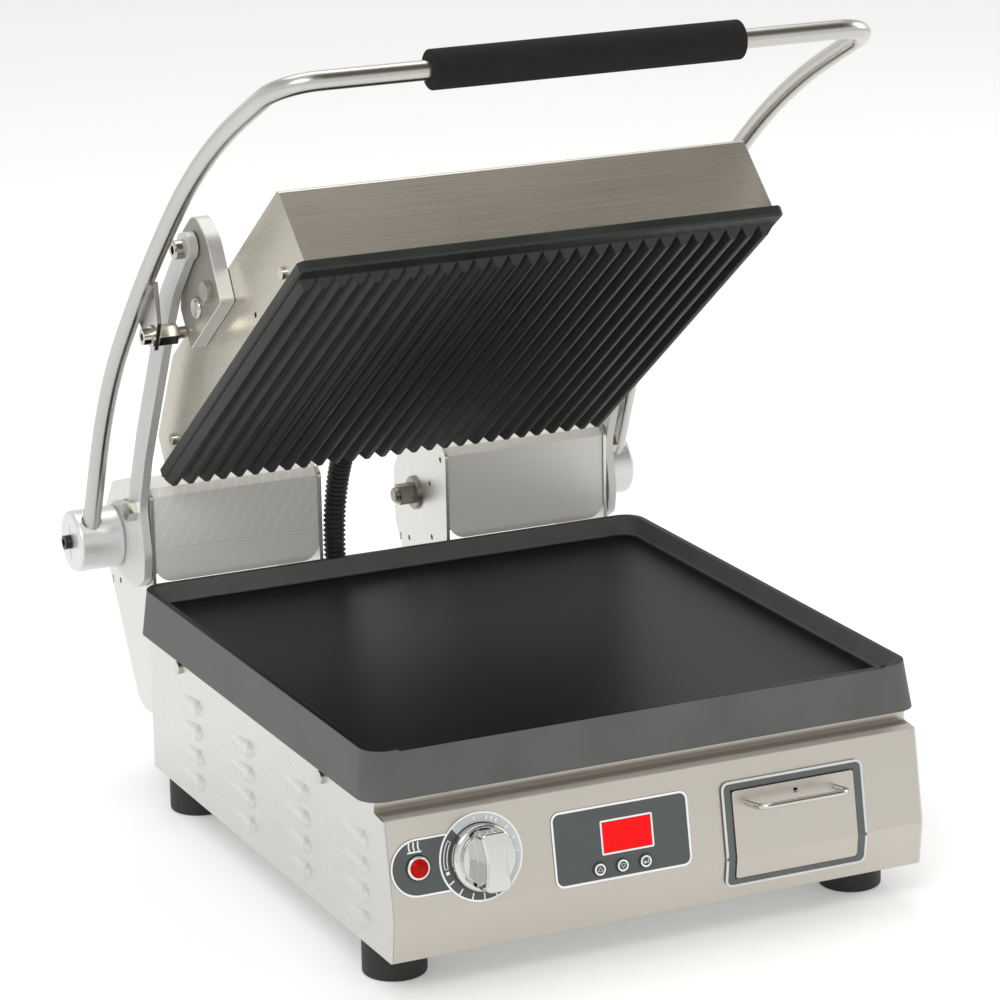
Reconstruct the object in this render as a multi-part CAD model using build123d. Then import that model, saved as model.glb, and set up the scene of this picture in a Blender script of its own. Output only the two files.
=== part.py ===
from build123d import *
from math import atan2, degrees, hypot
import os

# Countertop panini press, modelled open. Lengths in mm, +X to the right, +Y to the back, +Z up.
# Every y below is measured back from the crease of the front panel; FRONT_Y then puts the middle of the
# whole press over the origin. z = 0 is the surface that the feet stand on.

FRONT_Y = -254.698

# ---- driving dimensions -------------------------------------------------------------------------------

# casing
CASE_HALF = 190.0           # half the casing's width
CASE_REAR = 418.5           # outer face of the rear panel
CASE_BOTTOM = 26.6          # lower edge of the panels
CASE_TOP = 127.8            # where the griddle plate rests
SHEET = 1.2
CREASE_Z = 55.9             # crease of the front panel
PANEL_TOP_Y, PANEL_TOP_Z = 11.1, 118.1
PANEL_BOTTOM_Y = 3.3
BAND_Y, BAND_Z = 24.7, 119.5
LEDGE_Y, LEDGE_Z = 15.4, 120.2    # top of the bead along the ledge over the front panel

# feet
FOOT_R, FOOT_X, FOOT_FRONT, FOOT_REAR = 21.0, 166.0, 54.0, 394.0

# lower griddle plate
SKIRT_HALF, SKIRT_FRONT, SKIRT_BACK = 198.2, 18.4, 422.0
RIM_HALF, RIM_FRONT, RIM_Z = 193.9, 22.7, 159.4
FLOOR_Z, LIP_Z = 146.0, 158.2

# rear hinge housings
AXIS_Y, AXIS_Z = 492.6, 177.0
PLATE_T = 2.5
OUTER_PLATE_X, INNER_PLATE_X = 178.8, 48.7     # outward faces of the two end plates
COVER_FRONT, COVER_BOTTOM, COVER_SEAM = 437.0, 154.5, 177.5
SHAFT_R, RUNNING_GAP = 8.0, 0.06

# lift frame
ARM_X0, ARM_X1 = 179.5, 185.5
HUB_R, HUB_END = 22.0, 219.7
TUBE_X, TUBE_R, TUBE_WALL = 207.8, 6.35, 1.5
BAR_Y, BAR_Z = 100.0, 566.0
GRIP_R, GRIP_HALF = 12.8, 108.0
PIVOT_Y, PIVOT_Z = 333.0, 417.0

# upper platen, in its own frame: y = 0 at the rear edge, z = 0 at the ridge tips, plate lying level
PLATEN_HALF, PLATEN_DEPTH, PLATEN_TOP = 173.5, 337.0, 12.6
RIDGES, RIDGE_H, RIDGE_BORDER = 28, 5.5, 13.0
HOUSING_HALF = 168.0
PIVOT_V, PIVOT_W = -185.6, 96.8
OPEN_TILT = 37.0
PLATEN_OPEN = Pos(0, 423, 228) * Rot(-OPEN_TILT, 0, 0)

# front controls, placed on the sloping upper face of the front panel
PANEL_TILT = degrees(atan2(PANEL_TOP_Y, PANEL_TOP_Z - CREASE_Z))
PANEL = Pos(0, 0, CREASE_Z) * Rot(-PANEL_TILT, 0, 0)
LAMP_X, KNOB_X, DIAL_S = -169.7, -126.6, 31.0
BUTTON_X, BUTTON_S = (-46.3, -30.1, -13.7), 9.0
DISPLAY = (-42.0, -7.5, 18.5, 38.3)
DRAWER = (50.0, 140.6, 41.0, 100.0)
DRAWER_DEPTH = 300.0

SIDES = (("left", -1), ("right", 1))


# ---- helpers ------------------------------------------------------------------------------------------

def save(name, *solids):
    """Write one sub-part, moved so that the press is centred over the origin."""
    placed = [Pos(0, FRONT_Y, 0) * s for s in solids]
    whole = placed[0] if len(placed) == 1 else Compound(children=placed)
    export_step(whole, f"parts/{name}.step")


def block(x0, x1, y0, y1, z0, z1):
    return Pos((x0 + x1) / 2, (y0 + y1) / 2, (z0 + z1) / 2) * Box(abs(x1 - x0), abs(y1 - y0), abs(z1 - z0))


def rod_x(x0, x1, y, z, r):
    return Pos((x0 + x1) / 2, y, z) * Rot(0, 90, 0) * Cylinder(r, abs(x1 - x0))


def rod_y(x, y0, y1, z, r):
    return Pos(x, (y0 + y1) / 2, z) * Rot(90, 0, 0) * Cylinder(r, abs(y1 - y0))


def rod_z(x, y, z0, z1, r):
    return Pos(x, y, (z0 + z1) / 2) * Cylinder(r, abs(z1 - z0))


def hex_x(x0, x1, y, z, across_flats):
    """Hexagonal bar along x."""
    face = RegularPolygon(across_flats / 2, 6, major_radius=False)
    return extrude(Plane.YZ.offset(min(x0, x1)) * Pos(y, z) * face, abs(x1 - x0))


def outline(points):
    """Closed face through (a, b) or (a, b, corner radius) points."""
    face = make_face(Polyline([p[:2] for p in points], close=True))
    for a, b, r in [p for p in points if len(p) == 3]:
        corner = min(face.vertices(), key=lambda v: hypot(v.X - a, v.Y - b))
        face = fillet(corner, r)
    return face


def slab_x(points, x0, x1):
    """Outline in (y, z) made solid from x0 to x1."""
    return extrude(Plane.YZ.offset(min(x0, x1)) * outline(points), abs(x1 - x0))


def offset_path(points, gap):
    """Open path moved sideways by gap, to its left, with mitred corners."""
    normals = []
    for (a0, b0), (a1, b1) in zip(points, points[1:]):
        run = hypot(a1 - a0, b1 - b0)
        normals.append((-(b1 - b0) / run, (a1 - a0) / run))
    moved = []
    for i, (a, b) in enumerate(points):
        n0, n1 = normals[max(i - 1, 0)], normals[min(i, len(normals) - 1)]
        mitre = 1 + n0[0] * n1[0] + n0[1] * n1[1]
        moved.append((a + gap * (n0[0] + n1[0]) / mitre, b + gap * (n0[1] + n1[1]) / mitre))
    return moved


def bent_sheet(path, x0, x1, thickness):
    """Folded sheet along an open (y, z) path, thickened to the path's left, from x0 to x1."""
    return slab_x(path + offset_path(path, thickness)[::-1], x0, x1)


def rounded_bar(x0, x1, y0, y1, z0, z1, r):
    """Block whose four edges along y are rounded."""
    bar = block(x0, x1, y0, y1, z0, z1)
    return fillet(bar.edges().filter_by(Axis.Y), r)


def on_panel(x, s, r, out0, out1):
    """Disc standing on the front panel at (x, s), between two heights over the panel."""
    return PANEL * rod_y(x, -out0, -out1, s, r)


def swept_tube(path, r, bore=0.0):
    """Round tube along a smooth path."""
    section = Circle(r) - Circle(bore) if bore else Circle(r)
    start = Plane(origin=path @ 0, z_dir=path % 0)
    return sweep(start * section, path=path)


def bolt_x(x_face, side, y, z, shank_r, head_r, head_h, shank_in, socket_r=0.0):
    """Cap screw along x: head outside x_face on the given side, shank going inwards."""
    head = rod_x(side * x_face, side * (x_face + head_h), y, z, head_r)
    outer_rim = head.edges().sort_by(Axis.X)[-1 if side > 0 else 0]
    head = chamfer(outer_rim, head_h * 0.12)
    if socket_r:
        head -= hex_x(side * (x_face + head_h * 0.4), side * (x_face + head_h + 1), y, z, socket_r * 2)
    return head + rod_x(side * x_face, side * (x_face - shank_in), y, z, shank_r)


# ---- casing -------------------------------------------------------------------------------------------

FRONT_PATH = [(16.0, CASE_BOTTOM), (PANEL_BOTTOM_Y, CASE_BOTTOM), (0.0, CREASE_Z), (PANEL_TOP_Y, PANEL_TOP_Z),
              (LEDGE_Y, LEDGE_Z), (LEDGE_Y + 3.4, LEDGE_Z - 1.1), (BAND_Y, BAND_Z), (BAND_Y, CASE_TOP),
              (34.0, CASE_TOP)]


def front_panel():
    """Creased front sheet with its ledge and band, and the openings for the controls and the drawer."""
    half = CASE_HALF - SHEET - 0.1
    sheet = bent_sheet(FRONT_PATH[::-1], -half, half, SHEET)
    sheet -= on_panel(LAMP_X, DIAL_S, 6.0, -4, 4)
    sheet -= on_panel(KNOB_X, DIAL_S, 5.2, -4, 4)
    x0, x1, s0, s1 = DISPLAY
    sheet -= PANEL * block(x0, x1, -4, 4, s0, s1)
    for x in BUTTON_X:
        sheet -= on_panel(x, BUTTON_S, 4.6, -4, 4)
    x0, x1, z0, z1 = DRAWER
    return sheet - block(x0 + 1, x1 - 1, -12, 14, z0 + 1, z1 - 1)


LOUVER_MOUTHS = [42 + 95 * i for i in range(4)]
LOUVER_ROWS = [41.5 + 18 * i for i in range(4)]
LOUVER_LENGTH, LOUVER_NOSE, LOUVER_RISE, LOUVER_DEPTH, LOUVER_LIP = 40.0, 5.0, 2.8, 10.0, 3.5
SIDE_SCREWS, SIDE_SCREW_Z = (108.0, 360.0), 117.0


def louver(y, z, side, shrink):
    """Sunk cone that rises from the sheet towards the front, with a short blunt nose and a cut lower edge."""
    axis_x = side * (CASE_HALF - LOUVER_DEPTH)
    low_r = LOUVER_DEPTH - shrink
    high_r = low_r + LOUVER_RISE
    rise = Pos(axis_x, y + LOUVER_LENGTH / 2, z) * Rot(90, 0, 0) * Cone(low_r, high_r, LOUVER_LENGTH)
    nose = Pos(axis_x, y - LOUVER_NOSE / 2, z) * Rot(90, 0, 0) * Cone(high_r, low_r, LOUVER_NOSE)
    kept = block(side * 150, side * 220, y - LOUVER_NOSE, y + LOUVER_LENGTH, z - LOUVER_LIP, z + 15)
    return (rise + nose) & kept


def side_panel(side):
    """Side sheet with its grid of louvers, each open along its lower edge."""
    inner = CASE_HALF - SHEET
    path = [(3.5, CASE_BOTTOM), (CASE_REAR, CASE_BOTTOM), (CASE_REAR, CASE_TOP), (BAND_Y + 0.2, CASE_TOP),
            (BAND_Y + 0.2, BAND_Z), (PANEL_TOP_Y + 0.2, PANEL_TOP_Z), (0.2, CREASE_Z)]
    sheet = slab_x(path, side * inner, side * CASE_HALF)
    hoods = []
    for y in LOUVER_MOUTHS:
        for z in LOUVER_ROWS:
            pressed = louver(y, z, side, 0)
            sheet -= pressed
            hood = pressed - louver(y, z, side, 1.0)
            hoods.append(hood & block(side * inner, side * (CASE_HALF + 9), y - 9, y + 50, z - 9, z + 9))
    for hood in hoods:
        sheet += hood
    for y in SIDE_SCREWS:
        sheet -= rod_x(side * 185, side * 195, y, SIDE_SCREW_Z, 2.0)
    return sheet


def base_pan():
    """Floor of the casing, with holes for the foot bolts and cooling slots."""
    pan = block(-CASE_HALF + SHEET, CASE_HALF - SHEET, 17, CASE_REAR - SHEET, CASE_BOTTOM, CASE_BOTTOM + SHEET)
    for x in (-FOOT_X, FOOT_X):
        for y in (FOOT_FRONT, FOOT_REAR):
            pan -= rod_z(x, y, 20, 35, 4.0)
    for i in range(6):
        pan -= block(-60, 60, 120 + 30 * i, 128 + 30 * i, 20, 35)
    return pan


def rear_panel():
    """Back of the casing, with the conduit hole and the power inlet hole."""
    half = CASE_HALF - SHEET
    panel = block(-half, half, CASE_REAR - SHEET, CASE_REAR, CASE_BOTTOM + SHEET, CASE_TOP)
    panel -= rod_y(CONDUIT_X, 400, 430, CONDUIT_EXIT_Z, CONDUIT_R + 1.0)
    return panel - rod_y(INLET_X, 400, 430, INLET_Z, 9.2)


def foot(x, y):
    """Rubber foot, slightly rounded where it meets the table, with a stud that snaps into the pan."""
    body = rod_z(x, y, 0, CASE_BOTTOM, FOOT_R)
    body = fillet(body.edges().sort_by(Axis.Z)[0], 2.0)
    return body + rod_z(x, y, CASE_BOTTOM, CASE_BOTTOM + SHEET + 3, 4.0)


# ---- lower griddle plate ------------------------------------------------------------------------------

def rounded_tray(half0, y0, y1, z0, half1, y2, y3, z1, r):
    """Block tapering from one rounded rectangle at z0 to another at z1."""
    low = Pos(0, (y0 + y1) / 2, z0) * RectangleRounded(2 * half0, y1 - y0, r)
    high = Pos(0, (y2 + y3) / 2, z1) * RectangleRounded(2 * half1, y3 - y2, r)
    return loft([low.face(), high.face()])


def lower_griddle_plate():
    """Cast plate: flared skirt, floor with a rim on three sides and a slightly lower lip at the front."""
    plate = rounded_tray(SKIRT_HALF, SKIRT_FRONT, SKIRT_BACK, CASE_TOP,
                         RIM_HALF, RIM_FRONT, SKIRT_BACK, RIM_Z, 15)
    basin = rounded_tray(RIM_HALF - 6.5, RIM_FRONT + 6.5, SKIRT_BACK - 7, FLOOR_Z,
                         RIM_HALF - 4.2, RIM_FRONT + 4.4, SKIRT_BACK - 4.2, RIM_Z + 0.01, 14)
    plate -= basin
    notch = [(-RIM_HALF + 22, LIP_Z), (RIM_HALF - 22, LIP_Z), (RIM_HALF - 16, RIM_Z + 1),
             (-RIM_HALF + 16, RIM_Z + 1)]
    plate -= extrude(Plane.XZ.offset(-RIM_FRONT - 8) * outline(notch), 20)
    plate -= block(-182, 182, 32, 412, CASE_TOP - 1, CASE_TOP + 8)
    floor_edges = plate.edges().filter_by(lambda e: abs(e.center().Z - FLOOR_Z) < 0.05)
    return fillet(floor_edges, 2.5)


def heating_element(x_half, y0, y1, z, passes, r, leg):
    """Tubular heater: parallel runs joined by half turns, its two cold ends turned by the given leg."""
    pitch = 2 * x_half / (passes - 1)
    points = []
    for i in range(passes):
        x = -x_half + pitch * i
        ends = (y0, y1) if i % 2 == 0 else (y1, y0)
        points += [(x, ends[0], z), (x, ends[1], z)]
    points[0] = (points[0][0], points[0][1] + leg, z)
    points[-1] = (points[-1][0], points[-1][1] + leg, z)
    return swept_tube(FilletPolyline(*points, radius=pitch * 0.42), r)


# ---- hinge housings -----------------------------------------------------------------------------------

END_PLATE = [(CASE_REAR, 54), (466, 54, 6), (478, 60, 6), (516, 124, 24), (530, 146, 18), (532, 186, 22),
             (514, 211, 8), (480, 221.8, 20), (443.5, 223.6, 4), (COVER_FRONT, 217.5, 4), (COVER_FRONT, 150),
             (424.5, 127), (CASE_REAR, 120)]


def end_plate(side, x_face, towards, bore_r):
    """Hinge end plate with its bore, a row of slots and screw holes; x_face is its outward face."""
    plate = slab_x(END_PLATE, side * x_face, side * (x_face + towards * PLATE_T))
    plate -= rod_x(side * (x_face - 5), side * (x_face + 5), AXIS_Y, AXIS_Z, bore_r)
    for y, z in ((446, 213), (466, 190), (505, 139), (464, 150)):
        plate -= rod_x(side * (x_face - 5), side * (x_face + 5), y, z, 2.1)
    plate -= block(side * (x_face - 5), side * (x_face + 5), 519.5, 521.5, 128, 139)
    return plate


def cover_path():
    return [(COVER_FRONT, COVER_BOTTOM), (COVER_FRONT, 217.5), (443.5, 223.6), (480, 221.8), (514, 211),
            (531, 187), (529, 146), (522, 134)]


def spring_cover(side):
    """Wrap-round sheet between the end plates, lower corners rounded; the left one has a seam across it."""
    x0, x1 = INNER_PLATE_X + PLATE_T + 0.1, OUTER_PLATE_X - PLATE_T - 0.1
    inside = offset_path(cover_path(), -1.3)
    cover = bent_sheet(inside, side * x0, side * x1, -SHEET)
    if side < 0:
        cover -= block(-x1, -x0, COVER_FRONT - 2, COVER_FRONT + 1.7, COVER_SEAM - 0.4, COVER_SEAM + 0.4)
    r = 13.0
    for edge, inward in ((x0, 1), (x1, -1)):
        corner = block(side * edge, side * (edge + inward * r), COVER_FRONT - 4, COVER_FRONT + 6,
                       COVER_BOTTOM - 1, COVER_BOTTOM + r)
        keep = rod_y(side * (edge + inward * r), COVER_FRONT - 5, COVER_FRONT + 7, COVER_BOTTOM + r, r)
        cover -= corner - keep
    return cover


def torsion_spring(side):
    """Close-wound coil round the hinge shaft with a straight leg at each end."""
    coil_r, wire_r, turns = 19.0, 2.8, 12
    pitch = 7.4
    start_x = side * (INNER_PLATE_X + 16)
    helix = Helix(pitch=pitch, height=pitch * turns, radius=coil_r)
    coil = sweep(Plane(origin=helix @ 0, z_dir=helix % 0) * Circle(wire_r), path=helix)
    coil = Pos(start_x, AXIS_Y, AXIS_Z) * Rot(0, side * 90, 0) * coil
    return coil


def hinge_shaft(side):
    """Fixed shaft through both end plates, stepped down to a thread at its inner end."""
    shaft = rod_x(side * (INNER_PLATE_X + PLATE_T), side * 215.0, AXIS_Y, AXIS_Z, SHAFT_R)
    shaft += rod_x(side * 31.0, side * (INNER_PLATE_X + PLATE_T), AXIS_Y, AXIS_Z, 5.5)
    tip = shaft.edges().filter_by(GeomType.CIRCLE).sort_by(Axis.X)[0 if side > 0 else -1]
    return chamfer(tip, 0.8)


def shaft_nut(side):
    """Flange nut that clamps the shaft to the inner end plate."""
    face = INNER_PLATE_X
    nut = rod_x(side * face, side * (face - 3.0), AXIS_Y, AXIS_Z, 12.5)
    nut = chamfer(nut.edges().filter_by(GeomType.CIRCLE).sort_by(Axis.X)[0 if side > 0 else -1], 1.2)
    nut += hex_x(side * (face - 3.0), side * (face - 14.0), AXIS_Y, AXIS_Z, 14.0)
    return nut - rod_x(side * (face + 1), side * (face - 15), AXIS_Y, AXIS_Z, 5.5)


# ---- lift frame ---------------------------------------------------------------------------------------

TUBE_FOOT = (481.3, 188.7)
TUBE_BENDS = [(436, 299.5, 340), (351.5, 394, 1200), (236.5, 499.5, 560)]
CORNER_R = 27.0

ARM = [(434, 176, 18), (437, 158, 8), (452, 149, 8), (478, 150, 10), (512, 157, 14), (517, 190, 18), (490, 204, 10),
       (462, 204, 12), (457, 226, 14), (439, 268), (381, 379, 16), (356, 406, 14), (342, 426, 9), (326, 430, 9),
       (318, 416, 8), (330, 409, 10), (355, 382, 14), (368, 360, 14), (426, 248, 30), (440, 210, 20)]


def arm(side):
    """Flat lift arm: round lower end on the hinge shaft, cranked upper end on the platen pivot."""
    plate = slab_x(ARM, side * ARM_X0, side * ARM_X1)
    plate -= rod_x(side * 170, side * 190, AXIS_Y, AXIS_Z, SHAFT_R + RUNNING_GAP)
    plate -= rod_x(side * 170, side * 190, PIVOT_Y, PIVOT_Z, 4.0)
    return plate - rod_x(side * 170, side * 190, ARM_BOLT[0], ARM_BOLT[1], 4.0)


ARM_BOLT = (452.0, 206.0)


def tube_socket(side, start, r):
    """Round cut in the hub along the foot of the handle tube, from start outwards."""
    y0, z0 = TUBE_FOOT
    y1, z1, _ = TUBE_BENDS[0]
    run = hypot(y1 - y0, z1 - z0)
    along = Plane(origin=(side * TUBE_X, y0, z0), z_dir=(0, (y1 - y0) / run, (z1 - z0) / run))
    return extrude(along.offset(start) * Circle(r), 40)


def hub(side):
    """Round hub on the hinge shaft, bolted at its outer end, socketed for the handle tube."""
    body = rod_x(side * ARM_X1, side * HUB_END, AXIS_Y, AXIS_Z, HUB_R)
    end_rim = body.edges().filter_by(GeomType.CIRCLE).sort_by(Axis.X)[-1 if side > 0 else 0]
    body = fillet(end_rim, 3.0)
    body = chamfer(body.edges().filter_by(GeomType.CIRCLE).sort_by(Axis.X)[0 if side > 0 else -1], 1.6)
    body -= rod_x(side * (ARM_X1 - 1), side * 215.1, AXIS_Y, AXIS_Z, SHAFT_R + RUNNING_GAP)
    body -= rod_x(side * 210, side * 225, AXIS_Y, AXIS_Z, 3.3)
    body -= block(side * (HUB_END - 0.8), side * (HUB_END + 2), AXIS_Y - 0.6, AXIS_Y + 0.6, AXIS_Z - 13, AXIS_Z + 13)
    return body - tube_socket(side, 0.0, TUBE_R) - tube_socket(side, 4.0, TUBE_R + 0.9)


def hub_end_bolt(side):
    """Socket screw in the end of the fixed shaft; its head keeps the hub on."""
    head = rod_x(side * (HUB_END + 0.1), side * (HUB_END + 5.0), AXIS_Y, AXIS_Z, 5.0)
    head -= hex_x(side * (HUB_END + 2.0), side * (HUB_END + 6.0), AXIS_Y, AXIS_Z, 5.0)
    return head + rod_x(side * 215.0, side * (HUB_END + 0.1), AXIS_Y, AXIS_Z, 3.0)


def handle_path():
    left = [(-TUBE_X, *TUBE_FOOT)] + [(-TUBE_X, y, z) for y, z, _ in TUBE_BENDS] + [(-TUBE_X, BAR_Y, BAR_Z)]
    right = [(TUBE_X, y, z) for _, y, z in left[::-1]]
    radii = [r for _, _, r in TUBE_BENDS] + [CORNER_R]
    return FilletPolyline(*left, *right, radius=radii + radii[::-1])


STOP_TAB = [(379, 362), (353, 392), (345, 394), (341, 366), (350, 344, 4), (363, 349)]
STANDOFF = (352.0, 355.5)


def handle_tube():
    """One bent tube from hub to hub, with a stop tab welded to each side."""
    tube = swept_tube(handle_path(), TUBE_R, TUBE_R - TUBE_WALL)
    solid_tube = swept_tube(handle_path(), TUBE_R)
    for _, side in SIDES:
        tab = slab_x(STOP_TAB, side * (TUBE_X - 7.6), side * (TUBE_X - 4.6)) - solid_tube
        tab = tab.solids().sort_by(SortBy.VOLUME)[-1]
        tab -= rod_x(side * 195, side * 210, *STANDOFF, 3.0)
        tube += tab
    return tube


def handle_grip():
    grip = rod_x(-GRIP_HALF, GRIP_HALF, BAR_Y, BAR_Z, GRIP_R)
    grip = fillet(grip.edges().filter_by(GeomType.CIRCLE), 1.5)
    return grip - rod_x(-GRIP_HALF - 1, GRIP_HALF + 1, BAR_Y, BAR_Z, TUBE_R)


def stop_standoff(side):
    """Hexagonal standoff and its bolt through the stop tab; its round tip reaches past the arm's edge."""
    tab_in, tab_out = TUBE_X - 7.6, TUBE_X - 4.6
    y, z = STANDOFF
    body = hex_x(side * tab_in, side * (ARM_X1 + 0.8), y, z, 13.0)
    body += rod_x(side * (ARM_X1 + 0.8), side * ARM_X0, y, z, 4.2)
    body += rod_x(side * tab_in, side * tab_out, y, z, 3.0)
    washer = rod_x(side * tab_out, side * (tab_out + 1.4), y, z, 7.5)
    head = rod_x(side * (tab_out + 1.4), side * (tab_out + 7.4), y, z, 5.5)
    head -= hex_x(side * (tab_out + 4.0), side * (tab_out + 8.0), y, z, 5.0)
    return body + washer + head


def arm_bolt(side):
    """Hexagon bolt screwed into the arm above the hub."""
    y, z = ARM_BOLT
    return hex_x(side * ARM_X1, side * (ARM_X1 + 6.5), y, z, 13.0) + rod_x(side * ARM_X0, side * ARM_X1, y, z, 4.0)


def pivot_bolt(side):
    """Shoulder screw: fixed in the arm, its shoulder carries the platen bracket."""
    return bolt_x(ARM_X1, side, PIVOT_Y, PIVOT_Z, 4.0, 6.5, 8.0, ARM_X1 - 167.0, 3.0)


# ---- upper platen, modelled level in its own frame ----------------------------------------------------

def ridge_profile():
    """Saw-like outline across the plate: rounded ridge tips at z = 0, narrow valleys between them."""
    pitch = 2 * (PLATEN_HALF - 2.5) / RIDGES
    tip = pitch * 0.16
    path = [(-PLATEN_HALF + 2.5, RIDGE_H)]
    edges = []
    here = path[0]
    for i in range(RIDGES):
        centre = -PLATEN_HALF + 2.5 + pitch * (i + 0.5)
        a, b = (centre - tip, 0.35), (centre + tip, 0.35)
        end = (centre + pitch / 2, RIDGE_H)
        edges.append(Line(here, a))
        edges.append(ThreePointArc(a, (centre, 0.0), b))
        edges.append(Line(b, end))
        here = end
    edges.append(Polyline([here, (here[0], RIDGE_H + 2), (path[0][0], RIDGE_H + 2), path[0]]))
    return make_face(edges)


def upper_platen():
    """Cast plate with ridges from a flat front border to the open rear edge, ends of the ridges sloped."""
    slab = block(-PLATEN_HALF, PLATEN_HALF, -PLATEN_DEPTH, 0, RIDGE_H, PLATEN_TOP)
    slab = chamfer(slab.edges().filter_by(Axis.Z), 3.0)
    slab = chamfer(slab.faces().sort_by(Axis.Z)[0].edges(), 1.5)
    length = PLATEN_DEPTH - RIDGE_BORDER
    ridges = extrude(Plane.XZ * ridge_profile(), length)
    taper = [(-length - 1, -1), (-length + 7, -1), (-length, RIDGE_H), (-length - 1, RIDGE_H)]
    ridges -= slab_x(taper, -PLATEN_HALF, PLATEN_HALF)
    return slab + ridges


HOUSING_SCREWS, HOUSING_HOLE, HOUSING_SCREW_W = (-296.0, -30.0), -232.7, 23.5
HOUSING = [(-333.8, PLATEN_TOP), (-323.8, 69, 3), (-70, 69, 5), (-2, 38, 3), (0, PLATEN_TOP)]


def upper_housing():
    """Sheet cover over the upper plate, open underneath, its top sloping down towards the back."""
    cover = slab_x(HOUSING, -HOUSING_HALF, HOUSING_HALF)
    inside = [(-332.6, PLATEN_TOP - 1), (-322.8, 67.8, 2), (-70.3, 67.8, 4), (-3.2, 37.2, 2), (-1.2, PLATEN_TOP - 1)]
    cover -= slab_x(inside, -HOUSING_HALF + SHEET, HOUSING_HALF - SHEET)
    cover -= rod_y(ENTRY_X, -6, 6, GLAND_W, CONDUIT_R + 0.8)
    for v in HOUSING_SCREWS + (HOUSING_HOLE,):
        cover -= rod_x(-HOUSING_HALF - 2, HOUSING_HALF + 2, v, HOUSING_SCREW_W, 2.0)
    return cover


BRACKET = [(-133, 46, 3), (-206, 46, 3), (-212, 90, 24), (-202, 115, 15), (-173, 115, 15), (-134, 76, 5)]
BRACKET_X0, BRACKET_X1 = HOUSING_HALF + 0.3, 178.6
ROUND_BOLT, HEX_BOLT = (-165.5, 61.8), (-194.3, 60.2)


def platen_bracket(side):
    """Thick pivot bracket bolted to the side of the housing."""
    plate = slab_x(BRACKET, side * BRACKET_X0, side * BRACKET_X1)
    plate = chamfer(plate.faces().sort_by(Axis.X)[-1 if side > 0 else 0].edges(), 0.5)
    return plate - rod_x(side * 160, side * 185, PIVOT_V, PIVOT_W, 4.0 + RUNNING_GAP)


def bracket_bolts(side):
    """A round-headed and a hexagonal bolt, flush in the bracket and clear of the arm."""
    round_head = rod_x(side * BRACKET_X1, side * (BRACKET_X1 + 3.2), *ROUND_BOLT, 7.5)
    rim = round_head.edges().filter_by(GeomType.CIRCLE).sort_by(Axis.X)[-1 if side > 0 else 0]
    round_head = fillet(rim, 2.4)
    hex_head = hex_x(side * BRACKET_X1, side * (BRACKET_X1 + 5.2), *HEX_BOLT, 13.0)
    return round_head, hex_head


def housing_screw(side, v):
    return bolt_x(HOUSING_HALF, side, v, HOUSING_SCREW_W, 2.0, 4.2, 2.4, SHEET)


# ---- front controls, in the panel's own frame ---------------------------------------------------------

LABEL_T = 0.5


def plate_on_panel(face):
    """Thin label lying on the upper face of the front panel."""
    return PANEL * extrude(Plane.XZ * face, LABEL_T)


def dial_label():
    """Pill round the lamp merging into a ring round the knob."""
    pill = Pos((LAMP_X + KNOB_X) / 2, DIAL_S) * SlotCenterToCenter(KNOB_X - LAMP_X, 37.2)
    face = pill + Pos(KNOB_X, DIAL_S) * Circle(28.7) - Pos(LAMP_X, DIAL_S) * Circle(6.1)
    return plate_on_panel(face - Pos(KNOB_X, DIAL_S) * Circle(5.3))


def display_label():
    face = Pos(-28.7, 25.3) * RectangleRounded(97.0, 49.0, 6.0)
    x0, x1, s0, s1 = DISPLAY
    face -= Pos((x0 + x1) / 2, (s0 + s1) / 2) * Rectangle(x1 - x0, s1 - s0)
    for x in BUTTON_X:
        face -= Pos(x, BUTTON_S) * Circle(4.6)
    return plate_on_panel(face)


def display_window():
    x0, x1, s0, s1 = DISPLAY
    return PANEL * block(x0 + 0.1, x1 - 0.1, -0.6, 1.4, s0 + 0.1, s1 - 0.1)


def control_board():
    """Circuit board behind the display label, with the display module and three tact switches."""
    board = block(-74, 15, 12.0, 13.6, 2, 48)
    x0, x1, s0, s1 = DISPLAY
    module = block(x0, x1, 1.5, 12.0, s0, s1)
    switches = [block(x - 3, x + 3, 8.0, 12.0, BUTTON_S - 3, BUTTON_S + 3) for x in BUTTON_X]
    return PANEL * (board + module + switches[0] + switches[1] + switches[2])


def button(x):
    """Round push button that stands a little proud of the label and reaches back to its switch."""
    cap = rod_y(x, -2.1, 3.0, BUTTON_S, 4.4)
    cap = fillet(cap.edges().filter_by(GeomType.CIRCLE).sort_by(Axis.Y)[0], 0.6)
    return PANEL * (cap + rod_y(x, 3.0, 6.8, BUTTON_S, 1.8))


def lamp_bezel():
    ring = rod_y(LAMP_X, -LABEL_T - 2.2, -LABEL_T, DIAL_S, 7.7) + rod_y(LAMP_X, -LABEL_T, 12, DIAL_S, 5.9)
    ring = fillet(ring.edges().filter_by(GeomType.CIRCLE).sort_by(Axis.Y)[0], 1.0)
    return PANEL * (ring - rod_y(LAMP_X, -4, 8, DIAL_S, 5.0))


def lamp_lens():
    """Domed red lens."""
    dome = Pos(LAMP_X, 4.0, DIAL_S) * Sphere(8.4) & block(LAMP_X - 8, LAMP_X + 8, -8, 1.0, DIAL_S - 8, DIAL_S + 8)
    dome &= rod_y(LAMP_X, -8, 8, DIAL_S, 4.9)
    return PANEL * (dome + rod_y(LAMP_X, 1.0, 8.0, DIAL_S, 4.9))


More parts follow.
